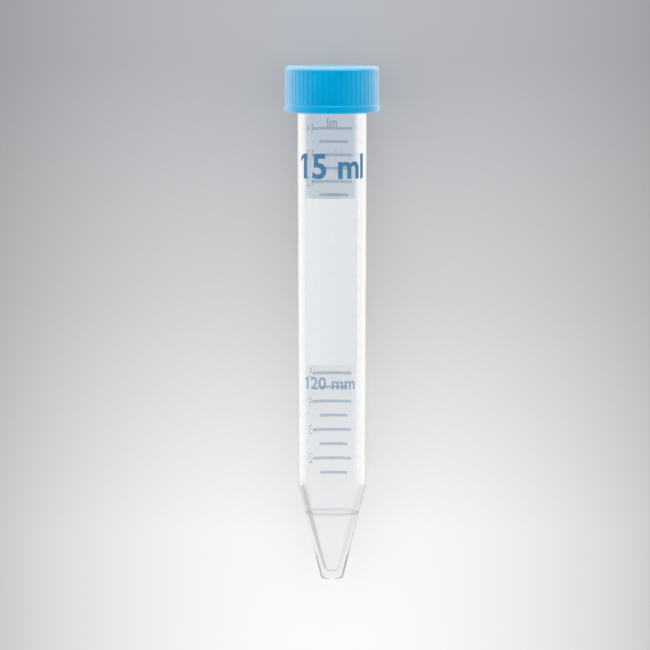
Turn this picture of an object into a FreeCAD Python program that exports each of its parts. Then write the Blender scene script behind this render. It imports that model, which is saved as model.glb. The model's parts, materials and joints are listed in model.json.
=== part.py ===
import FreeCAD, Part
import math
import os
import Sketcher

# A 15 ml conical centrifuge tube, closed by its screw cap and lying on a flat surface.
# Each piece is drawn upright about its own Z axis, in millimetres, and then laid down.
# The tube's own origin is the middle of its tip; the cap's is the middle of the face
# inside its top, which rests on the tube's rim.

doc = FreeCAD.newDocument("ConicalTube")

# ---------------------------------------------------------------- driving sizes

SIZES = [
    # the tube, from its tip to its rim
    ("tube_length", 118.9, "tip to rim"),
    ("body_radius", 8.2, "outside, in the straight stretch under the cap"),
    ("straight_length", 20.0, "straight stretch that a rack or rotor hole holds"),
    ("body_draft", 0.23, "how much narrower the body is where the cone begins"),
    ("cone_height", 22.4, "tip to the top of the cone"),
    ("tip_radius", 2.5, "outside of the cone carried down to the tip"),
    ("neck_step", 0.1, "how much narrower than the body the neck is at its foot"),
    ("neck_draft", 0.1, "how much narrower again the neck is at the rim"),
    ("neck_show", 0.5, "neck left showing between the cap and the straight stretch"),
    ("rim_wall", 0.97, "wall at the rim, measured from the body's outside"),
    ("foot_wall", 1.13, "wall where the cone begins"),
    ("well_radius", 1.25, "inside radius at the bottom of the cone"),
    ("floor_thickness", 1.9, "solid plastic under the well"),
    ("tip_round", 0.7, "rounding of the tip"),
    ("well_round", 1.0, "rounding of the well's bottom"),
    ("shoulder_round", 1.5, "rounding between body and cone"),
    ("rim_bevel", 0.2, "bevel of the rim's two edges"),
    ("mark_height", 15.5, "moulded half-millilitre ring above the tip"),
    ("mark_depth", 0.08, "depth of that ring"),
    ("mark_width", 0.7, "width of that ring at the surface"),
    # the cap
    ("cap_height", 11.0, "lip to top"),
    ("cap_top", 1.5, "thickness of the top"),
    ("skirt_wall", 2.05, "thickness of the skirt, ribs included"),
    ("cap_round", 1.15, "rounding of the top's edge"),
    ("lip_height", 1.9, "plain band at the open end, its slope included"),
    ("lip_slope", 0.35, "height of the slope from that band in to the ribs"),
    ("lip_stand", 0.22, "how far that band stands proud of the ribs"),
    ("lip_bevel", 0.25, "bevel of that band's lower edge"),
    ("rib_pitch", 1.245, "from one grip rib to the next, round the skirt"),
    ("rib_stop", 0.15, "plain edge at both ends of the ribs"),
    ("rib_depth", 0.2, "depth of the grooves between ribs"),
    ("groove_mouth", 0.55, "width of a groove at its mouth"),
    ("groove_root", 0.3, "width of a groove at its root"),
    ("thread_space", 0.95, "room for the screw threads between neck and skirt"),
    ("skirt_chamfer", 0.5, "lead-in at the skirt's open end"),
    ("seal_depth", 2.6, "length of the plug seal"),
    ("seal_wall", 0.7, "thickness of the plug seal"),
    ("seal_clearance", 0.06, "between the plug seal and the mouth"),
    ("seal_draw", 0.25, "how far the plug seal draws in above and below its bead"),
]

sheet = doc.addObject("Spreadsheet::Sheet", "Sizes")
for row, (alias, value, meaning) in enumerate(SIZES, start=1):
    sheet.set(f"A{row}", meaning)
    sheet.set(f"B{row}", str(value))
    sheet.setAlias(f"B{row}", alias)
doc.recompute()


def size(alias):
    """The value of one named size, in millimetres."""
    return float(sheet.get(alias))


# ---------------------------------------------------------------- drawing helpers


def origin_feature(body, role):
    """One of a body's own origin planes or axes, such as XZ_Plane or Z_Axis."""
    return next(f for f in body.Origin.OriginFeatures if f.Role == role)


def closed_outline(body, name, plane, corners):
    """A sketch of straight lines through corners given as pairs of expressions."""
    sketch = body.newObject("Sketcher::SketchObject", name)
    sketch.AttachmentSupport = [(origin_feature(body, plane), "")]
    sketch.MapMode = "FlatFace"
    turn = 2 * math.pi / len(corners)
    start = [FreeCAD.Vector(math.cos(i * turn), math.sin(i * turn)) for i in range(len(corners))]
    for i, point in enumerate(start):
        sketch.addGeometry(Part.LineSegment(point, start[(i + 1) % len(start)]), False)
    for i in range(len(corners)):
        sketch.addConstraint(Sketcher.Constraint("Coincident", i, 2, (i + 1) % len(corners), 1))
    for i, (across, up) in enumerate(corners):
        for kind, expression, value in (("DistanceX", across, start[i].x), ("DistanceY", up, start[i].y)):
            index = sketch.addConstraint(Sketcher.Constraint(kind, i, 1, value))
            sketch.renameConstraint(index, f"{kind}{i}")
            sketch.setExpression(f"Constraints.{kind}{i}", expression)
    return sketch


def turned(body, kind, name, sketch):
    """The sketch turned fully about the body's axis: a Revolution adds, a Groove cuts."""
    feature = body.newObject(f"PartDesign::{kind}", name)
    feature.Profile = sketch
    feature.ReferenceAxis = (sketch, ["V_Axis"])
    feature.Angle = 360.0
    return feature


def rounded(body, name, radius_alias, places):
    """Rounds the circular edges at the given (radius, height) places."""
    doc.recompute()
    near = 0.01
    base = body.Tip
    names = []
    for number, edge in enumerate(base.Shape.Edges, start=1):
        if not isinstance(edge.Curve, Part.Circle):
            continue
        for radius, height in places:
            if abs(edge.Curve.Radius - radius) < near and abs(edge.Curve.Center.z - height) < near:
                names.append(f"Edge{number}")
    if len(names) != len(places):
        raise RuntimeError(f"{name}: found {len(names)} of {len(places)} edges")
    feature = body.newObject("PartDesign::Fillet", name)
    feature.Base = (base, names)
    feature.setExpression("Radius", f"Sizes.{radius_alias}")
    return feature


# ---------------------------------------------------------------- the tube

tube = doc.addObject("PartDesign::Body", "Tube")
tube.Label = "conical_tube"

# the neck begins just under the cap's lip
neck_start = "(Sizes.tube_length + Sizes.cap_top - Sizes.cap_height - Sizes.neck_show)"
neck_radius = "(Sizes.body_radius - Sizes.neck_step)"
rim_radius = f"({neck_radius} - Sizes.neck_draft)"
mouth_radius = "(Sizes.body_radius - Sizes.rim_wall)"
cone_radius = "(Sizes.body_radius - Sizes.body_draft)"

tube_section = closed_outline(
    tube,
    "TubeSection",
    "XZ_Plane",
    [
        ("0", "0"),
        ("Sizes.tip_radius", "0"),
        (cone_radius, "Sizes.cone_height"),
        ("Sizes.body_radius", f"{neck_start} - Sizes.straight_length"),
        ("Sizes.body_radius", neck_start),
        (neck_radius, neck_start),
        (rim_radius, "Sizes.tube_length - Sizes.rim_bevel"),
        (f"{rim_radius} - Sizes.rim_bevel", "Sizes.tube_length"),
        (f"{mouth_radius} + Sizes.rim_bevel", "Sizes.tube_length"),
        (mouth_radius, "Sizes.tube_length - Sizes.rim_bevel"),
        (f"{cone_radius} - Sizes.foot_wall", "Sizes.cone_height"),
        ("Sizes.well_radius", "Sizes.floor_thickness"),
        ("0", "Sizes.floor_thickness"),
    ],
)
turned(tube, "Revolution", "TubeTurned", tube_section)

# the half-millilitre ring, a shallow V moulded round the cone
cone_slope = f"(({cone_radius} - Sizes.tip_radius) / Sizes.cone_height)"
cone_at_mark = f"(Sizes.tip_radius + {cone_slope} * Sizes.mark_height)"
mark_flare = f"({cone_slope} * Sizes.mark_width)"
mark_section = closed_outline(
    tube,
    "MarkSection",
    "XZ_Plane",
    [
        (f"{cone_at_mark} - Sizes.mark_depth", "Sizes.mark_height"),
        (
            f"{cone_at_mark} - {mark_flare} + Sizes.mark_depth",
            "Sizes.mark_height - Sizes.mark_width",
        ),
        (
            f"{cone_at_mark} + {mark_flare} + Sizes.mark_depth",
            "Sizes.mark_height + Sizes.mark_width",
        ),
    ],
)
turned(tube, "Groove", "MarkRing", mark_section)

shoulder_outside = size("body_radius") - size("body_draft")
rounded(tube, "TipRounding", "tip_round", [(size("tip_radius"), 0.0)])
rounded(tube, "WellRounding", "well_round", [(size("well_radius"), size("floor_thickness"))])
rounded(
    tube,
    "ShoulderRounding",
    "shoulder_round",
    [
        (shoulder_outside, size("cone_height")),
        (shoulder_outside - size("foot_wall"), size("cone_height")),
    ],
)

# ---------------------------------------------------------------- the cap

cap = doc.addObject("PartDesign::Body", "Cap")
cap.Label = "screw_cap"

skirt_bore = f"({neck_radius} + Sizes.thread_space)"
skirt_end = "(Sizes.cap_top - Sizes.cap_height)"
rib_radius = f"({skirt_bore} + Sizes.skirt_wall)"
lip_radius = f"({rib_radius} + Sizes.lip_stand)"
seal_radius = f"({mouth_radius} - Sizes.seal_clearance)"

cap_section = closed_outline(
    cap,
    "CapSection",
    "XZ_Plane",
    [
        ("0", "Sizes.cap_top"),
        (rib_radius, "Sizes.cap_top"),
        (rib_radius, f"{skirt_end} + Sizes.lip_height"),
        (lip_radius, f"{skirt_end} + Sizes.lip_height - Sizes.lip_slope"),
        (lip_radius, f"{skirt_end} + Sizes.lip_bevel"),
        (f"{lip_radius} - Sizes.lip_bevel", skirt_end),
        (f"{skirt_bore} + Sizes.skirt_chamfer", skirt_end),
        (skirt_bore, f"{skirt_end} + Sizes.skirt_chamfer"),
        (skirt_bore, "0"),
        (f"{seal_radius} - Sizes.seal_draw", "0"),
        (seal_radius, "-Sizes.seal_depth / 2"),
        (f"{seal_radius} - Sizes.seal_draw", "-Sizes.seal_depth"),
        (f"{seal_radius} - Sizes.seal_wall", "-Sizes.seal_depth"),
        (f"{seal_radius} - Sizes.seal_wall - Sizes.seal_draw", "0"),
        ("0", "0"),
    ],
)
turned(cap, "Revolution", "CapTurned", cap_section)

rib_outside = (
    size("body_radius") - size("neck_step") + size("thread_space") + size("skirt_wall")
)
rounded(cap, "TopRounding", "cap_round", [(rib_outside, size("cap_top"))])

# one groove of the grip, cut from just under the rounding down to near the lip, and then all
past_ribs = f"({rib_radius} + Sizes.lip_stand / 2)"
groove_section = closed_outline(
    cap,
    "GrooveSection",
    "XY_Plane",
    [
        (f"{rib_radius} - Sizes.rib_depth", "-Sizes.groove_root / 2"),
        (rib_radius, "-Sizes.groove_mouth / 2"),
        (past_ribs, "-Sizes.groove_mouth / 2"),
        (past_ribs, "Sizes.groove_mouth / 2"),
        (rib_radius, "Sizes.groove_mouth / 2"),
        (f"{rib_radius} - Sizes.rib_depth", "Sizes.groove_root / 2"),
    ],
)
groove_top = "(Sizes.cap_top - Sizes.cap_round - Sizes.rib_stop)"
groove_foot = f"({skirt_end} + Sizes.lip_height + Sizes.rib_stop)"
groove_section.setExpression("AttachmentOffset.Base.z", groove_top)
doc.recompute()
plain_volume = cap.Tip.Shape.Volume

groove = cap.newObject("PartDesign::Pocket", "Groove")
groove.Profile = groove_section
groove.Type = "Length"
groove.setExpression("Length", f"{groove_top} - {groove_foot}")
doc.recompute()

grip = cap.newObject("PartDesign::PolarPattern", "Grip")
grip.Originals = [groove]
grip.Axis = (origin_feature(cap, "Z_Axis"), [""])
grip.Angle = 360.0
grip.setExpression("Occurrences", f"round(2 * pi * {rib_radius} / Sizes.rib_pitch)")
cap.Tip = grip
doc.recompute()

# ---------------------------------------------------------------- how it lies

# The tube touches the surface at two rings: the rounding between body and cone, and the
# lip's edge above its bevel. The rounding's section is an arc with a centre and a radius.
neck_height = size("tube_length") + size("cap_top") - size("cap_height") - size("neck_show")
body_rise = math.atan2(
    size("body_draft"), neck_height - size("straight_length") - size("cone_height")
)
cone_rise = math.atan2(shoulder_outside - size("tip_radius"), size("cone_height"))
shoulder_setback = size("shoulder_round") * math.tan((cone_rise - body_rise) / 2)
shoulder_height = (
    size("cone_height")
    + shoulder_setback * math.cos(body_rise)
    + size("shoulder_round") * math.sin(body_rise)
)
shoulder_radius = (
    shoulder_outside
    + shoulder_setback * math.sin(body_rise)
    - size("shoulder_round") * math.cos(body_rise)
)
along = neck_height + size("neck_show") + size("lip_bevel") - shoulder_height
out = rib_outside + size("lip_stand") - shoulder_radius
lean = math.atan2(out, along) - math.asin(size("shoulder_round") / math.hypot(along, out))
rest_height = (
    shoulder_radius * math.cos(lean)
    - shoulder_height * math.sin(lean)
    + size("shoulder_round")
)

# the origin is on the surface, under the middle of the lying tube's length
top_height = size("tube_length") + size("cap_top") - size("cap_round")
far_end = (
    top_height * math.cos(lean)
    + (rib_outside - size("cap_round")) * math.sin(lean)
    + size("cap_round")
)
tip_flat = size("tip_radius") - size("tip_round") * math.tan(math.pi / 4 - cone_rise / 2)
near_end = (
    size("tip_round") * math.cos(lean)
    - tip_flat * math.sin(lean)
    - size("tip_round")
)

laid_down = FreeCAD.Rotation(FreeCAD.Vector(1, 0, 0), math.degrees(lean) - 90.0)
tip_place = FreeCAD.Vector(0, -(far_end + near_end) / 2, rest_height)
tube.Placement = FreeCAD.Placement(tip_place, laid_down)
rim_centre = FreeCAD.Vector(0, 0, size("tube_length"))
cap.Placement = FreeCAD.Placement(tip_place + laid_down.multVec(rim_centre), laid_down)
doc.recompute()

# ---------------------------------------------------------------- checks and files

for thing in doc.Objects:
    if "Invalid" in thing.State or "Error" in thing.State:
        raise RuntimeError(f"{thing.Label} did not build: {thing.State}")
if not cap.Shape.Volume < plain_volume:
    raise RuntimeError("the grip's grooves cut nothing")

os.makedirs("parts", exist_ok=True)
for body in (tube, cap):
    if body.Shape.isNull() or not body.Shape.isValid() or len(body.Shape.Solids) != 1:
        raise RuntimeError(f"{body.Label} is not one valid solid")
    body.Shape.exportStep(f"parts/{body.Label}.step")
    print(body.Label, round(body.Shape.Volume, 1), "mm3", body.Shape.BoundBox)
print("lean", round(math.degrees(lean), 3), "degrees; tip at", tip_place)
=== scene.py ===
import bmesh
import bpy
import json
import math
from mathutils import Matrix, Vector


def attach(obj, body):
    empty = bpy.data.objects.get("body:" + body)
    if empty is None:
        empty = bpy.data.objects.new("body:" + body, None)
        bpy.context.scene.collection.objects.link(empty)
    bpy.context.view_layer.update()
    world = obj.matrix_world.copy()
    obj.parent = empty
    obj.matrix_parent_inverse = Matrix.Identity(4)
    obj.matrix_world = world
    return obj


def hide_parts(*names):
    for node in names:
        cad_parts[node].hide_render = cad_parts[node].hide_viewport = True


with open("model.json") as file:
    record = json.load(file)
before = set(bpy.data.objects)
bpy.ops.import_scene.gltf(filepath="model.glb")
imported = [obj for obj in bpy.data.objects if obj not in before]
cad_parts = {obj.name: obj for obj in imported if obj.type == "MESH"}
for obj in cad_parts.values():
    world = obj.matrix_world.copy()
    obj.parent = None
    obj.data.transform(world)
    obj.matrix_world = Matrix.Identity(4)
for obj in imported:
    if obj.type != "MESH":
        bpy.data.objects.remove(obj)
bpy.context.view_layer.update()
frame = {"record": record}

# A 15 ml conical tube with its screw cap on, lying on a pale floor. Each piece is shaped
# upright in millimetres, with the tube's tip at zero and its writing panel towards -Y,
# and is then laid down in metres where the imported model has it.

mm = 0.001
mounts = {mount["name"]: mount for mount in frame["record"]["mounts"]}
alongTube = -Vector(mounts["body_grip"]["axis"])
panelUp = Vector((1, 0, 0)).cross(alongTube)

# both pieces' sizes come first, because the tube's neck ends under the cap's lip
tube = {
    "length": 118.9,
    "bodyRadius": 8.2,
    "straightLength": 20.0,
    "bodyDraft": 0.23,  # how much narrower the body is at the cone
    "coneHeight": 22.4,
    "tipRadius": 2.5,
    "tipRound": 0.7,
    "neckStep": 0.1,
    "neckDraft": 0.1,
    "neckShow": 0.5,  # bare neck under the cap's lip
    "rimWall": 0.97,
    "rimBevel": 0.2,
    "footWall": 1.13,
    "shoulderRound": 1.5,
    "wellRadius": 1.25,
    "wellRound": 1.0,
    "floorThickness": 1.9,
    "markHeight": 15.5,  # the half millilitre ring, a shallow groove
    "markDepth": 0.045,
    "markWidth": 0.7,
    "steps": 192,
}

cap = {
    "height": 11.0,
    "top": 1.5,
    "skirtWall": 2.05,
    "topRound": 1.15,
    "lipHeight": 1.9,
    "lipStand": 0.22,
    "lipSlope": 0.35,
    "lipBevel": 0.25,
    "ribs": 56,
    "ribStop": 0.15,
    "ribDepth": 0.065,
    "ribSlope": 0.26,
    "grooveShare": 0.5,  # of the way from one rib to the next
    "threadSpace": 0.95,
    "skirtChamfer": 0.5,
    "sealDepth": 2.6,
    "sealWall": 0.7,
    "sealClearance": 0.06,
    "sealDraw": 0.25,
    "stepsPerRib": 4,
}

neckRadius = tube["bodyRadius"] - tube["neckStep"]
rimRadius = neckRadius - tube["neckDraft"]
mouthRadius = tube["bodyRadius"] - tube["rimWall"]
coneRadius = tube["bodyRadius"] - tube["bodyDraft"]
footRadius = coneRadius - tube["footWall"]
capTop = tube["length"] + cap["top"]
skirtEnd = capTop - cap["height"]
neckStart = skirtEnd - tube["neckShow"]
straightStart = neckStart - tube["straightLength"]
skirtBore = neckRadius + cap["threadSpace"]
ribRadius = skirtBore + cap["skirtWall"]
lipRadius = ribRadius + cap["lipStand"]

tip = Vector(mounts["cap_top"]["pos_m"]) - alongTube * capTop * mm
turn = Matrix((Vector((1, 0, 0)), -panelUp, alongTube)).transposed()
layDown = Matrix.Translation(tip) @ turn.to_4x4() @ Matrix.Scale(mm, 4)


def outerRadius(height):
    # radius of the tube's outside at a height above its tip
    if height < tube["coneHeight"]:
        return tube["tipRadius"] + (coneRadius - tube["tipRadius"]) * height / tube["coneHeight"]
    rise = (height - tube["coneHeight"]) / (straightStart - tube["coneHeight"])
    return coneRadius + tube["bodyDraft"] * min(rise, 1)


def boreRadius(height):
    # radius of the tube's inside at a height above its tip
    if height < tube["coneHeight"]:
        rise = (height - tube["floorThickness"]) / (tube["coneHeight"] - tube["floorThickness"])
        return tube["wellRadius"] + (footRadius - tube["wellRadius"]) * rise
    rise = (height - tube["coneHeight"]) / (tube["length"] - tube["coneHeight"])
    return footRadius + (mouthRadius - footRadius) * rise


# how near, in millimetres, two points count as one, or a point as on a ring, wall or cut
near = {"joint": 0.001, "ring": 0.002, "wall": 0.05, "letter": 0.0005, "cut": 0.0001}


def spunSolid(corners, steps, closed=False):
    # corners are (radius, height) pairs, from the axis round the section and back to it, or
    # a closed loop clear of the axis
    bm = bmesh.new()
    section = [bm.verts.new((radius, 0, height)) for radius, height in corners]
    if closed:
        section.append(section[0])
    for first, second in zip(section, section[1:]):
        bm.edges.new((first, second))
    bmesh.ops.spin(
        bm, geom=bm.verts[:] + bm.edges[:], cent=(0, 0, 0), axis=(0, 0, 1),
        angle=2 * math.pi, steps=steps, use_merge=True,
    )
    bmesh.ops.remove_doubles(bm, verts=bm.verts, dist=near["joint"])
    bmesh.ops.recalc_face_normals(bm, faces=bm.faces)
    return bm


def onRing(vert, radius, height):
    off = max(abs(vert.co.xy.length - radius), abs(vert.co.z - height))
    return off < near["ring"]


def roundCorner(bm, corners, name, radius, segments):
    # the corner's ring of edges gets an arc of this radius
    names = list(corners)
    place = names.index(name)
    before, here, after = (Vector(corners[names[place + i]]) for i in (-1, 0, 1))
    bend = (here - before).angle(after - here)
    ring = [e for e in bm.edges if all(onRing(v, *here) for v in e.verts)]
    bmesh.ops.bevel(
        bm, geom=ring, offset=radius * math.tan(bend / 2), offset_type="OFFSET",
        segments=segments, profile=0.5, affect="EDGES", material=-1,
    )


def threadRidge(wall, outwards, depth, pitch, turns, start, foot, crest, steps):
    # a helical ridge on a wall of this radius, standing outwards (1) or inwards (-1)
    bm = bmesh.new()
    buried = 0.08
    section = [
        (wall - outwards * buried, -foot / 2), (wall + outwards * depth, -crest / 2),
        (wall + outwards * depth, crest / 2), (wall - outwards * buried, foot / 2),
    ]
    bm.faces.new([bm.verts.new((radius, 0, start + rise)) for radius, rise in section])
    bmesh.ops.spin(
        bm, geom=bm.verts[:] + bm.edges[:] + bm.faces[:], cent=(0, 0, 0), axis=(0, 0, 1),
        dvec=(0, 0, pitch * turns / steps), angle=2 * math.pi * turns, steps=steps,
    )
    bmesh.ops.recalc_face_normals(bm, faces=bm.faces)
    return bm


def meshObject(bm, name):
    mesh = bpy.data.meshes.new(name)
    bm.to_mesh(mesh)
    bm.free()
    piece = bpy.data.objects.new(name, mesh)
    bpy.context.scene.collection.objects.link(piece)
    return piece


def evaluatedMesh(piece):
    # a new mesh with the piece's modifiers, or its letters, worked out
    graph = bpy.context.evaluated_depsgraph_get()
    return bpy.data.meshes.new_from_object(piece.evaluated_get(graph))


def joined(bm, extra):
    # one closed solid from two that overlap
    base = meshObject(bm, "base")
    other = meshObject(extra, "extra")
    union = base.modifiers.new("union", "BOOLEAN")
    union.operation = "UNION"
    union.solver = "EXACT"
    union.object = other
    result = bmesh.new()
    result.from_mesh(evaluatedMesh(base))
    for piece in (base, other):
        bpy.data.objects.remove(piece)
    return result


def finished(bm, name, material, body, sharpDegrees=30):
    # laid down, smooth but for its sharp edges, and riding on its body
    bmesh.ops.transform(bm, matrix=layDown, verts=bm.verts)
    for face in bm.faces:
        face.smooth = True
    piece = meshObject(bm, name)
    piece.data.set_sharp_from_angle(angle=math.radians(sharpDegrees))
    weighted = piece.modifiers.new("evenNormals", "WEIGHTED_NORMAL")
    weighted.keep_sharp = True
    piece.data.materials.append(material)
    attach(piece, body)
    return piece


# materials

def newMaterial(name):
    material = bpy.data.materials.new(name)
    material.use_nodes = True
    nodes = material.node_tree.nodes
    nodes.clear()
    output = nodes.new("ShaderNodeOutputMaterial")
    shader = nodes.new("ShaderNodeBsdfPrincipled")
    material.node_tree.links.new(shader.outputs["BSDF"], output.inputs["Surface"])
    return material, nodes, material.node_tree.links, shader


def noiseOn(nodes, links, scale, stretch=(1, 1, 1), detail=3):
    # noise over the object's own coordinates, stretched along its axes
    place = nodes.new("ShaderNodeTexCoord")
    mapping = nodes.new("ShaderNodeMapping")
    mapping.inputs["Scale"].default_value = stretch
    noise = nodes.new("ShaderNodeTexNoise")
    noise.inputs["Scale"].default_value = scale
    noise.inputs["Detail"].default_value = detail
    links.new(place.outputs["Object"], mapping.inputs["Vector"])
    links.new(mapping.outputs["Vector"], noise.inputs["Vector"])
    return noise


def given(links, value, socket):
    # a socket takes another's value, or a plain one
    if isinstance(value, bpy.types.NodeSocket):
        links.new(value, socket)
    else:
        socket.default_value = value


def worked(nodes, links, operation, *values):
    # arithmetic on other sockets' values or plain ones
    node = nodes.new("ShaderNodeMath")
    node.operation = operation
    for socket, value in zip(node.inputs, values):
        given(links, value, socket)
    return node.outputs["Value"]


def ranged(nodes, links, value, start, end, low=0, high=1, smooth=False):
    # from low to high while the value goes from start to end
    span = nodes.new("ShaderNodeMapRange")
    if smooth:
        span.interpolation_type = "SMOOTHSTEP"
    span.inputs["From Min"].default_value = start
    span.inputs["From Max"].default_value = end
    span.inputs["To Min"].default_value = low
    span.inputs["To Max"].default_value = high
    links.new(value, span.inputs["Value"])
    return span.outputs["Result"]


def ramped(nodes, links, value, stops):
    # a colour at each stop along the value, from first to last
    ramp = nodes.new("ShaderNodeValToRGB")
    elements = ramp.color_ramp.elements
    elements[0].position = stops[0][0]
    elements[1].position = stops[-1][0]
    for place, color in stops[1:-1]:
        elements.new(place)
    for element, (place, color) in zip(elements, stops):
        element.color = (*color, 1)
    links.new(value, ramp.inputs["Fac"])
    return ramp.outputs["Color"]


def mixed(nodes, links, kind, factor, first, second):
    # goes from first to second while the factor goes from 0 to 1
    node = nodes.new("ShaderNodeMix")
    node.data_type = kind
    for name, value in (("Factor", factor), ("A", first), ("B", second)):
        given(links, value, node.inputs[name])
    return node.outputs["Result"]


def towards(nodes, links, source, direction):
    # how far a place, or how nearly a direction, lies along this one
    node = nodes.new("ShaderNodeVectorMath")
    node.operation = "DOT_PRODUCT"
    links.new(source, node.inputs[0])
    node.inputs[1].default_value = direction
    return node.outputs["Value"]


def surfaceMixed(nodes, links, factor, first, second):
    # the material's surface goes from one shader to another in the same way
    mix = nodes.new("ShaderNodeMixShader")
    links.new(factor, mix.inputs["Fac"])
    links.new(first.outputs[0], mix.inputs[1])
    links.new(second.outputs[0], mix.inputs[2])
    output = next(node for node in nodes if node.type == "OUTPUT_MATERIAL")
    links.new(mix.outputs["Shader"], output.inputs["Surface"])


noiseMiddle = (0.3, 0.7)


def spread(nodes, links, noise, span, target):
    # the noise's middle drives the target over this span
    links.new(ranged(nodes, links, noise.outputs["Fac"], *noiseMiddle, *span), target)


def tinted(nodes, links, noise, colors):
    # a colour from between these two, as the noise has it
    return ramped(nodes, links, noise.outputs["Fac"], list(zip(noiseMiddle, colors)))


def bumped(nodes, links, noise, shader, strength, depth):
    bump = nodes.new("ShaderNodeBump")
    bump.inputs["Strength"].default_value = strength
    bump.inputs["Distance"].default_value = depth
    links.new(noise.outputs["Fac"], bump.inputs["Height"])
    links.new(bump.outputs["Normal"], shader.inputs["Normal"])


clearFinish = {
    "color": (0.985, 0.988, 0.99, 1),
    "ior": 1.58,
    "roughness": (0.015, 0.05),
    "flow": {"scale": 60, "stretch": (4, 1, 4)},
    "bump": (0.05, 0.0002),
    "shadow": (0.96, 0.965, 0.97, 1),
}


def clearPlastic():
    material, nodes, links, shader = newMaterial("clearPlastic")
    shader.inputs["Base Color"].default_value = clearFinish["color"]
    shader.inputs["Transmission Weight"].default_value = 1
    shader.inputs["IOR"].default_value = clearFinish["ior"]
    flow = noiseOn(nodes, links, **clearFinish["flow"])
    spread(nodes, links, flow, clearFinish["roughness"], shader.inputs["Roughness"])
    bumped(nodes, links, flow, shader, *clearFinish["bump"])
    # lamps reach the floor through the thin clear wall, a little dimmed
    dimmed = nodes.new("ShaderNodeBsdfTransparent")
    dimmed.inputs["Color"].default_value = clearFinish["shadow"]
    path = nodes.new("ShaderNodeLightPath")
    surfaceMixed(nodes, links, path.outputs["Is Shadow Ray"], shader, dimmed)
    return material


blueFinish = {
    "colors": ((0.001, 0.300, 0.545), (0.002, 0.332, 0.585)),
    # painted highlight: a pale colour on the rounding round the cap's top, and how strongly it
    # shows
    "paintedHighlight": (0.29, 0.57, 0.68, 1),
    "highlightStrength": 0.8,
    "highlightReach": 0.9,  # of the rounding round the cap's top
    "highlightFullest": (0.5, 0.9),  # of that reach
    "roughness": (0.32, 0.44),
    "cloud": {"scale": 220},
    "grain": {"scale": 2600, "detail": 2},
    "bump": (0.15, 0.00003),
    "coatGrowth": 2.3,
    "coatStrength": 2.3,
    "specularTint": (0, 0.6, 1, 1),
    "plain": {
        "Specular IOR Level": 0.3,
        "Coat IOR": 5.5,
        "Coat Roughness": 0.35,
        "Subsurface Weight": 0.9,
        "Subsurface Scale": 1,
    },
    "subsurfaceRadius": (0.0004, 0.0012, 0.0018),
}


def topEdgePaintedHighlight(nodes, links):
    # painted highlight: how pale the rounded edge of the cap's top is painted, from 0 to 1
    place = nodes.new("ShaderNodeTexCoord")
    height = towards(nodes, links, place.outputs["Object"], alongTube)
    top = tip.dot(alongTube) + capTop * mm
    highlightFoot = top - blueFinish["highlightReach"] * cap["topRound"] * mm
    upRound = ranged(nodes, links, height, highlightFoot, top)
    unhighlighted = (0, 0, 0)
    paintedHighlight = (blueFinish["highlightStrength"],) * 3
    low, high = blueFinish["highlightFullest"]
    return ramped(nodes, links, upRound, ((0, unhighlighted), (low, paintedHighlight), (high, paintedHighlight), (1, unhighlighted)))


def bluePlastic():
    material, nodes, links, shader = newMaterial("bluePlastic")
    cloud = noiseOn(nodes, links, **blueFinish["cloud"])
    grain = noiseOn(nodes, links, **blueFinish["grain"])
    # the cap's blue, with a painted highlight on the rounding round its top
    color = mixed(
        nodes, links, "RGBA", topEdgePaintedHighlight(nodes, links),
        tinted(nodes, links, cloud, blueFinish["colors"]), blueFinish["paintedHighlight"],
    )
    links.new(color, shader.inputs["Base Color"])
    spread(nodes, links, grain, blueFinish["roughness"], shader.inputs["Roughness"])
    bumped(nodes, links, grain, shader, *blueFinish["bump"])
    # a frosty gloss that grows where the surface turns away
    turned = nodes.new("ShaderNodeLayerWeight")
    growing = worked(nodes, links, "POWER", turned.outputs["Facing"], blueFinish["coatGrowth"])
    stronger = worked(nodes, links, "MULTIPLY", growing, blueFinish["coatStrength"])
    links.new(worked(nodes, links, "MINIMUM", stronger, 1), shader.inputs["Coat Weight"])
    shader.inputs["Specular Tint"].default_value = blueFinish["specularTint"]
    shader.inputs["Subsurface Radius"].default_value = blueFinish["subsurfaceRadius"]
    for name, value in blueFinish["plain"].items():
        shader.inputs[name].default_value = value
    return material


inks = {
    "panelInk": {
        "colors": ((0.67, 0.685, 0.70), (0.68, 0.695, 0.71)),
        "roughness": 0.5,
        "hiding": (0.878, 0.882),
    },
    "boldInk": {
        "colors": ((0.02, 0.145, 0.29), (0.035, 0.185, 0.35)),
        "roughness": 0.4,
        "hiding": (0.88, 0.96),
    },
    "scaleInk": {
        "colors": ((0.045, 0.205, 0.36), (0.08, 0.26, 0.43)),
        "roughness": 0.45,
        "hiding": (0.28, 0.37),
    },
    "softInk": {
        "colors": ((0.12, 0.26, 0.40), (0.16, 0.32, 0.47)),
        "roughness": 0.45,
        "hiding": (0.44, 0.6),
    },
    # painted shade for the half millilitre ring's groove
    "paintedGrooveShade": {
        "colors": ((0.30, 0.33, 0.36), (0.38, 0.41, 0.44)),
        "roughness": 0.6,
        "hiding": (0.14, 0.24),
    },
}
inkGrain = {
    "patches": {"scale": 900, "detail": 4},
    "fine": {"scale": 5200, "detail": 2},
    "bump": (0.2, 0.00002),
}


def ink(name):
    # printed ink, uneven in colour and in how much it hides
    material, nodes, links, shader = newMaterial(name)
    patches = noiseOn(nodes, links, **inkGrain["patches"])
    fine = noiseOn(nodes, links, **inkGrain["fine"])
    color = tinted(nodes, links, patches, inks[name]["colors"])
    links.new(color, shader.inputs["Base Color"])
    spread(nodes, links, patches, inks[name]["hiding"], shader.inputs["Alpha"])
    bumped(nodes, links, fine, shader, *inkGrain["bump"])
    shader.inputs["Roughness"].default_value = inks[name]["roughness"]
    return material


clear = clearPlastic()
blue = bluePlastic()
printInks = {name: ink(name) for name in inks}
print("materials made")

# the tube

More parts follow.
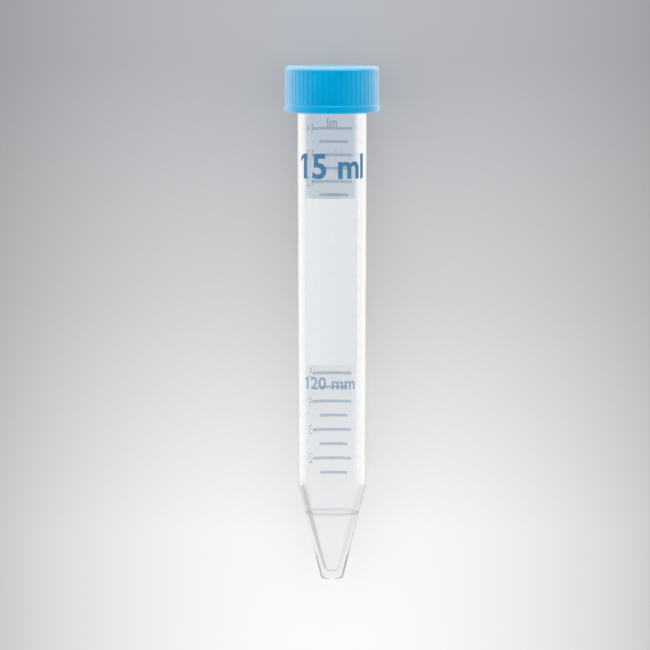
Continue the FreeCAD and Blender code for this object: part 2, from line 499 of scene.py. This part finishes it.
markRadius = outerRadius(tube["markHeight"])
markSpan = tube["markWidth"] / 2
tubeCorners = {
    "tipMiddle": (0, 0),
    "tipEdge": (tube["tipRadius"], 0),
    "markFoot": (outerRadius(tube["markHeight"] - markSpan), tube["markHeight"] - markSpan),
    "mark": (markRadius - tube["markDepth"], tube["markHeight"]),
    "markHead": (outerRadius(tube["markHeight"] + markSpan), tube["markHeight"] + markSpan),
    "shoulder": (coneRadius, tube["coneHeight"]),
    "straight": (tube["bodyRadius"], straightStart),
    "neckFoot": (tube["bodyRadius"], neckStart),
    "neck": (neckRadius, neckStart),
    "rimOutside": (rimRadius, tube["length"] - tube["rimBevel"]),
    "rimOuter": (rimRadius - tube["rimBevel"], tube["length"]),
    "rimInner": (mouthRadius + tube["rimBevel"], tube["length"]),
    "mouth": (mouthRadius, tube["length"] - tube["rimBevel"]),
    "foot": (footRadius, tube["coneHeight"]),
    "wellEdge": (tube["wellRadius"], tube["floorThickness"]),
    "wellMiddle": (0, tube["floorThickness"]),
}

neckThread = {
    "wall": rimRadius + 0.4 * tube["neckDraft"],  # partway down the tapered neck
    "outwards": 1,
    "depth": 0.72,
    "pitch": 3.0,
    "turns": 1.6,
    "start": 111.4,
    "foot": 1.3,
    "crest": 0.45,
    "steps": 200,
}

tubeShape = spunSolid(tubeCorners.values(), tube["steps"])
for corner, rounding, segments in (
    ("tipEdge", "tipRound", 6),
    ("shoulder", "shoulderRound", 4),
    ("foot", "shoulderRound", 4),
    ("wellEdge", "wellRound", 6),
):
    roundCorner(tubeShape, tubeCorners, corner, tube[rounding], segments)
tubeShape = joined(tubeShape, threadRidge(**neckThread))
conicalTube = finished(tubeShape, "conicalTube", clear, "tube")
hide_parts("conical_tube")
print("tube made")

# the cap

sealRadius = mouthRadius - cap["sealClearance"]
sealEnd = tube["length"] - cap["sealDepth"]
capCorners = {
    "topMiddle": (0, capTop),
    "topEdge": (ribRadius, capTop),
    "ribHead": (ribRadius, capTop - cap["topRound"] - cap["ribStop"]),
    "ribFoot": (ribRadius, skirtEnd + cap["lipHeight"] + cap["ribStop"]),
    "lipRoot": (ribRadius, skirtEnd + cap["lipHeight"]),
    "lipTop": (lipRadius, skirtEnd + cap["lipHeight"] - cap["lipSlope"]),
    "lipOutside": (lipRadius, skirtEnd + cap["lipBevel"]),
    "lipEnd": (lipRadius - cap["lipBevel"], skirtEnd),
    "skirtLead": (skirtBore + cap["skirtChamfer"], skirtEnd),
    "skirtMouth": (skirtBore, skirtEnd + cap["skirtChamfer"]),
    "skirtRoot": (skirtBore, tube["length"]),
    "sealFoot": (sealRadius - cap["sealDraw"], tube["length"]),
    "sealBead": (sealRadius, tube["length"] - cap["sealDepth"] / 2),
    "sealEnd": (sealRadius - cap["sealDraw"], sealEnd),
    "sealInside": (sealRadius - cap["sealWall"], sealEnd),
    "sealRoot": (sealRadius - cap["sealWall"] - cap["sealDraw"], tube["length"]),
    "innerMiddle": (0, tube["length"]),
}

capThread = {
    "wall": skirtBore,
    "outwards": -1,
    "depth": 0.5,
    "pitch": 3.0,
    "turns": 1.5,
    "start": 112.0,
    "foot": 1.1,
    "crest": 0.4,
    "steps": 200,
}

capShape = spunSolid(capCorners.values(), cap["ribs"] * cap["stepsPerRib"])
ribHead = capCorners["ribHead"][1]
ribFoot = capCorners["ribFoot"][1]
ribTurn = 2 * math.pi / cap["ribs"]
grooves = []
for face in capShape.faces:
    middle = face.calc_center_median()
    onWall = abs(middle.xy.length - ribRadius) < near["wall"]
    fromGroove = abs(math.atan2(middle.y, middle.x) % ribTurn / ribTurn - 0.5)
    if onWall and ribFoot < middle.z < ribHead and fromGroove < cap["grooveShare"] / 2:
        grooves.append(face)
bmesh.ops.inset_region(
    capShape, faces=grooves, thickness=cap["ribSlope"], depth=-cap["ribDepth"],
    use_boundary=True, use_even_offset=True,
)
roundCorner(capShape, capCorners, "topEdge", cap["topRound"], segments=8)
capShape = joined(capShape, threadRidge(**capThread))
screwCap = finished(capShape, "screwCap", blue, "cap")
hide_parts("screw_cap")
print("cap made, with", cap["ribs"], "ribs")

# the print, as thin layers of ink on the tube's outside

# heights and lengths in millimetres; left, right and turn in degrees round the tube
printing = {
    "stand": 0.012,
    "thickness": 0.02,
    "panelLow": 50.6,
    "panelHigh": 89.5,
    "panelLeft": 50,
    "panelRight": 45,
    "panelCorner": 0.8,
    "lineHeight": 0.68,
    "longLeft": 40,
    "longRight": 40,
    "shortLeft": 24,
    "shortRight": 31,
    "firstVolume": 1.5,
    "lastVolume": 14.0,
    "numberHeight": 2.5,
    "numberTurn": 46,
    "bold": {"height": 5.8, "weight": 0.2, "middle": 96.7},
    "unit": {"height": 2.1, "weight": 0.1, "middle": 106.55},
    "lower": {"height": 2.9, "weight": 0.09, "middle": 46.2},
    "lowerTurn": -5,
    "bendStep": 0.35,
    "sharpDegrees": 50,
}

# letters, as shares of their height; the font's 1 is a plain bar, which gets a flag
lettering = {
    "capital": 0.73,  # of the font's size
    "curveSteps": 4,
    "barHeight": 0.9,
    "barWidth": 0.25,
    "flagThickness": 0.13,
    "flagReach": 0.2,
    "flagDrop": 0.16,
}


def wrapped(bm, turnDegrees, back):
    # a flat shape, with X across and Y up the tube, bent round the tube's outside
    side = -1 if back else 1
    for vert in bm.verts:
        height = vert.co.y
        radius = outerRadius(height) + printing["stand"] + vert.co.z
        angle = vert.co.x / outerRadius(height) + math.radians(turnDegrees)
        vert.co = (side * radius * math.sin(angle), -side * radius * math.cos(angle), height)


def flatBand(left, right, low, high):
    # a flat rectangle
    bm = bmesh.new()
    bmesh.ops.create_grid(bm, x_segments=1, y_segments=1, size=0.5)
    bmesh.ops.scale(bm, vec=(right - left, high - low, 1), verts=bm.verts)
    bmesh.ops.translate(bm, vec=((left + right) / 2, (low + high) / 2, 0), verts=bm.verts)
    return bm


def cutToBend(bm, step):
    # upright cuts a step apart let a flat shape follow the tube
    low = min(v.co.x for v in bm.verts)
    high = max(v.co.x for v in bm.verts)
    for i in range(1, math.ceil((high - low) / step)):
        bmesh.ops.bisect_plane(
            bm, geom=bm.verts[:] + bm.edges[:] + bm.faces[:], dist=near["cut"],
            plane_co=(low + i * step, 0, 0), plane_no=(1, 0, 0),
        )


def thickened(bm):
    # the flat faces all look up, and the ink grows up from them
    bmesh.ops.solidify(bm, geom=bm.faces[:], thickness=-printing["thickness"])
    bmesh.ops.recalc_face_normals(bm, faces=bm.faces)


def flagOnes(bm, count, height, weight):
    # the first bars from the left are the ones
    bars = set()
    for face in bm.faces:
        xs = [vert.co.x for vert in face.verts]
        ys = [vert.co.y for vert in face.verts]
        tall = max(ys) - min(ys) > lettering["barHeight"] * height
        if tall and max(xs) - min(xs) < lettering["barWidth"] * height:
            bars.add((round(min(xs), 3), round(max(ys), 3)))
    thick = lettering["flagThickness"] * height + weight
    reach = lettering["flagReach"] * height
    drop = lettering["flagDrop"] * height
    for left, top in sorted(bars)[:count]:
        corners = ((0, 0), (-reach, -drop), (-reach, -thick - drop), (0, -thick))
        bm.faces.new([bm.verts.new((left + x, top + y, 0)) for x, y in corners])


def wordShape(words, height, weight, middle=0, across=0):
    # flat letters whose capitals are this high, centred at this height on the tube
    curve = bpy.data.curves.new("words", "FONT")
    curve.body = words
    curve.size = height / lettering["capital"]
    curve.align_x = "CENTER"
    curve.align_y = "CENTER"
    curve.offset = weight
    curve.resolution_u = lettering["curveSteps"]
    writer = bpy.data.objects.new("words", curve)
    bpy.context.scene.collection.objects.link(writer)
    bm = bmesh.new()
    bm.from_mesh(evaluatedMesh(writer))
    bpy.data.objects.remove(writer)
    bmesh.ops.remove_doubles(bm, verts=bm.verts, dist=near["letter"])
    flagOnes(bm, words.count("1"), height, weight)
    bmesh.ops.translate(bm, vec=(across, middle, 0), verts=bm.verts)
    return bm


def inked(bm, name, inkName):
    finished(
        bm, name, printInks[inkName], "tube",
        sharpDegrees=printing["sharpDegrees"],
    )


def printed(bm, name, inkName, turnDegrees=0, back=False):
    cutToBend(bm, printing["bendStep"])
    thickened(bm)
    wrapped(bm, turnDegrees, back)
    inked(bm, name, inkName)


def added(bm, extra):
    # extra's shapes are put into bm as loose parts
    mesh = bpy.data.meshes.new("extra")
    extra.to_mesh(mesh)
    extra.free()
    bm.from_mesh(mesh)
    bpy.data.meshes.remove(mesh)


def heightOfVolume(millilitres):
    # how high the tube is filled by a volume, by adding up thin layers of its bore
    layer = 0.02
    height = tube["floorThickness"]
    filled = 0
    while filled < millilitres * 1000:
        filled += math.pi * boreRadius(height + layer / 2) ** 2 * layer
        height += layer
    return height


panelRadius = outerRadius((printing["panelLow"] + printing["panelHigh"]) / 2)
panel = flatBand(
    -math.radians(printing["panelLeft"]) * panelRadius,
    math.radians(printing["panelRight"]) * panelRadius,
    printing["panelLow"], printing["panelHigh"],
)
bmesh.ops.bevel(
    panel, geom=panel.verts[:], offset=printing["panelCorner"], offset_type="OFFSET",
    segments=6, profile=0.5, affect="VERTICES", material=-1,
)
printed(panel, "writingPanel", "panelInk")

scale = bmesh.new()
halfMillilitres = range(round(printing["firstVolume"] * 2), round(printing["lastVolume"] * 2) + 1)
for count in halfMillilitres:
    height = heightOfVolume(count / 2)
    radius = outerRadius(height)
    kind = "long" if count % 2 == 0 else "short"
    # seen from behind the tube, where the scale is printed, left and right change places
    left = -math.radians(printing[kind + "Right"]) * radius
    right = math.radians(printing[kind + "Left"]) * radius
    half = printing["lineHeight"] / 2
    added(scale, flatBand(left, right, height - half, height + half))
    if kind == "long":
        across = math.radians(printing["numberTurn"]) * radius
        number = wordShape(
            str(count // 2), printing["numberHeight"], 0, middle=height, across=across
        )
        added(scale, number)
added(scale, wordShape("ml", **printing["unit"]))
printed(scale, "volumeScale", "scaleInk", back=True)

printed(wordShape("15 ml", **printing["bold"]), "volumeWords", "boldInk")
printed(
    wordShape("120 mm", **printing["lower"]), "lengthWords", "softInk",
    turnDegrees=printing["lowerTurn"],
)

# painted shade: a faint grey layer darkens the half millilitre ring's shallow groove
under = printing["stand"]
over = printing["stand"] + printing["thickness"]
groove = [tubeCorners[name] for name in ("markFoot", "mark", "markHead")]
ringCorners = [(radius + under, height) for radius, height in groove]
ringCorners += [(radius + over, height) for radius, height in reversed(groove)]
ring = spunSolid(ringCorners, tube["steps"], closed=True)
inked(ring, "halfRingShade", "paintedGrooveShade")
print("print made")

# the floor, the light and the camera

# places and reaches in metres, from the middle of the object
stage = {
    "size": 6.0,
    "reach": (-0.050, 0.061),  # where the floor's colours run from first to last
    "greys": ((0.85, 0.842, 0.832), (0.605, 0.609, 0.613), (0.437, 0.441, 0.462)),
    # as clear walls show them: unshaded, and with a painted blue glow that grows towards the cap
    "paintedThroughGreys": ((0.89, 0.896, 0.905), (0.643, 0.672, 0.705), (0.388, 0.485, 0.592)),
    # painted shade: the floor darkens out to the sides, as a pool of light fades
    "falloff": (62, 50),  # how fast it darkens out to the sides, at the tip and at the cap
    "darkest": 0.6,  # share of the colour left there
    "roughness": 0.8,
    "specular": 0.1,
    # painted highlight and shade, which only clear walls and gloss show: white beside the tube and
    # past the cap, grey beside the cone
    "whiteSeen": (0.0066, 0.0103),  # out to the sides, through clear walls
    "whiteMirrored": (0.012, 0.022),  # out to the sides, in a gloss
    "whiteBeyond": (0.062, 0.07),  # past the cap, in a gloss
    "whiteShift": 0.00065,  # the white begins nearer on the right
    "cone": (-0.044, -0.036),  # where it turns from grey to white, up along the tube
    "paintedConeGreys": (0.6, 0.78),  # beside the cone, on its left and on its right
    "lift": 0.45,  # share of the floor that isn't shaded to the eye
    "light": (0.98, 0.99, 1.0, 1),
    "overhead": 0.74,  # strength of the light from everywhere
    # each low light is a direction, a strength and how tight it is
    "beyondCap": ((0, 1, 0.45), 12, 60),
    "sides": (((-1, 0, 0.1), 2.6, 4), ((1, 0, 0.1), 2.2, 4)),
}


def floorColors(nodes, links, apart):
    # the floor's colour to the eye, and as the clear walls show it, unshaded and with a painted
    # blue glow from the cap
    first, last = stage["reach"]
    along = ranged(nodes, links, apart.outputs["Y"], first, last)
    fromAbove, paintedFromInside = (
        ramped(nodes, links, along, list(zip((0, 0.5, 1), stage[greys])))
        for greys in ("greys", "paintedThroughGreys")
    )
    # painted shade: a little darker out to the sides, as a pool of light fades
    atTip, atCap = stage["falloff"]
    falloff = worked(nodes, links, "MULTIPLY_ADD", along, atTip - atCap, -atTip)
    squared = worked(nodes, links, "MULTIPLY", apart.outputs["X"], apart.outputs["X"])
    fading = worked(
        nodes, links, "MAXIMUM", worked(nodes, links, "MULTIPLY_ADD", squared, falloff, 1),
        stage["darkest"],
    )
    darker = nodes.new("ShaderNodeVectorMath")
    darker.operation = "SCALE"
    links.new(fromAbove, darker.inputs[0])
    links.new(fading, darker.inputs["Scale"])
    return darker.outputs["Vector"], paintedFromInside


def paintedWhiteAside(nodes, links, apart, through):
    # painted highlight: how white the floor shows in clear walls and in a gloss, from 0 under the
    # tube to 1 at its sides, which paints bright edges on the tube and pale sides on the cap
    shifted = worked(nodes, links, "ADD", apart.outputs["X"], stage["whiteShift"])
    beside = worked(nodes, links, "ABSOLUTE", shifted)
    seen = ranged(nodes, links, beside, *stage["whiteSeen"], smooth=True)
    aside = ranged(nodes, links, beside, *stage["whiteMirrored"], smooth=True)
    beyond = ranged(nodes, links, apart.outputs["Y"], *stage["whiteBeyond"], smooth=True)
    mirrored = worked(nodes, links, "MAXIMUM", aside, beyond)
    return mixed(nodes, links, "FLOAT", through, mirrored, seen)


def paintedWhiteColor(nodes, links, apart):
    # the painted highlight's colour: white, but a painted grey shade beside the cone
    onRight = worked(nodes, links, "GREATER_THAN", apart.outputs["X"], 0)
    low, high = stage["paintedConeGreys"]
    paintedConeGrey = worked(nodes, links, "MULTIPLY_ADD", onRight, high - low, low)
    pastCone = ranged(nodes, links, apart.outputs["Y"], *stage["cone"], smooth=True)
    return mixed(nodes, links, "FLOAT", pastCone, paintedConeGrey, 1)


def floorMaterial():
    material, nodes, links, shader = newMaterial("floorPaper")
    place = nodes.new("ShaderNodeTexCoord")
    apart = nodes.new("ShaderNodeSeparateXYZ")
    links.new(place.outputs["Object"], apart.inputs["Vector"])
    fromAbove, paintedFromInside = floorColors(nodes, links, apart)
    links.new(fromAbove, shader.inputs["Base Color"])
    shader.inputs["Roughness"].default_value = stage["roughness"]
    shader.inputs["Specular IOR Level"].default_value = stage["specular"]
    path = nodes.new("ShaderNodeLightPath")
    through = path.outputs["Is Transmission Ray"]
    either = worked(nodes, links, "MAXIMUM", through, path.outputs["Is Glossy Ray"])
    plain = mixed(nodes, links, "RGBA", through, fromAbove, paintedFromInside)
    # painted highlight: white beside the tube and past the cap, in clear walls and gloss only
    paintedWhiteness = worked(
        nodes, links, "MULTIPLY", paintedWhiteAside(nodes, links, apart, through), either
    )
    glow = nodes.new("ShaderNodeEmission")
    glow.inputs["Strength"].default_value = 1
    links.new(
        mixed(nodes, links, "RGBA", paintedWhiteness, plain, paintedWhiteColor(nodes, links, apart)),
        glow.inputs["Color"],
    )
    # walls and gloss show it unshaded, and to the eye its shadows are only soft
    unshaded = worked(
        nodes, links, "MULTIPLY_ADD", path.outputs["Is Camera Ray"], stage["lift"], either
    )
    surfaceMixed(nodes, links, unshaded, shader, glow)
    return material


floorShape = bmesh.new()
bmesh.ops.create_grid(floorShape, x_segments=1, y_segments=1, size=stage["size"] / 2)
floor = meshObject(floorShape, "floor")
floor.data.materials.append(floorMaterial())


def studioWorld():
    # an even ceiling and a low light beyond the cap, which a gloss shows, and soft light from
    # the sides, which it doesn't
    world = bpy.data.worlds.new("studio")
    world.use_nodes = True
    nodes = world.node_tree.nodes
    links = world.node_tree.links
    place = nodes.new("ShaderNodeTexCoord")
    path = nodes.new("ShaderNodeLightPath")
    shown = worked(
        nodes, links, "MAXIMUM", path.outputs["Is Glossy Ray"], path.outputs["Is Transmission Ray"]
    )
    unshown = worked(nodes, links, "SUBTRACT", 1, shown)

    def glowFrom(direction, strength, tightness):
        nearness = towards(
            nodes, links, place.outputs["Generated"], Vector(direction).normalized()
        )
        ahead = worked(nodes, links, "MAXIMUM", nearness, 0)
        glow = worked(nodes, links, "POWER", ahead, tightness)
        return worked(nodes, links, "MULTIPLY", glow, strength)

    total = worked(nodes, links, "ADD", glowFrom(*stage["beyondCap"]), stage["overhead"])
    for side in stage["sides"]:
        total = worked(nodes, links, "MULTIPLY_ADD", glowFrom(*side), unshown, total)
    background = nodes["Background"]
    background.inputs["Color"].default_value = stage["light"]
    links.new(total, background.inputs["Strength"])
    bpy.context.scene.world = world


studioWorld()

# in millimetres, from the tube's tip and to the right of its middle
camera = {
    "distance": 1900,
    "heightOnTube": 190,
    "aimOnTube": 59.5,
    "aside": -1.64,
    "frameWidth": 152.2,
    "clipMetres": 20,
}

aim = layDown @ Vector((camera["aside"], 0, camera["aimOnTube"]))
eye = layDown @ Vector((camera["aside"], -camera["distance"], camera["heightOnTube"]))
lens = bpy.data.cameras.new("camera")
lens.lens = lens.sensor_width * (eye - aim).length / (camera["frameWidth"] * mm)
lens.clip_end = camera["clipMetres"]
viewer = bpy.data.objects.new("camera", lens)
viewer.location = eye
viewer.rotation_mode = "QUATERNION"
backwards = (eye - aim).normalized()
across = alongTube.cross(backwards).normalized()
upwards = backwards.cross(across)
viewer.rotation_quaternion = Matrix((across, upwards, backwards)).transposed().to_quaternion()
bpy.context.scene.collection.objects.link(viewer)
bpy.context.scene.camera = viewer
bpy.context.scene.view_settings.view_transform = "Standard"
print("stage made")
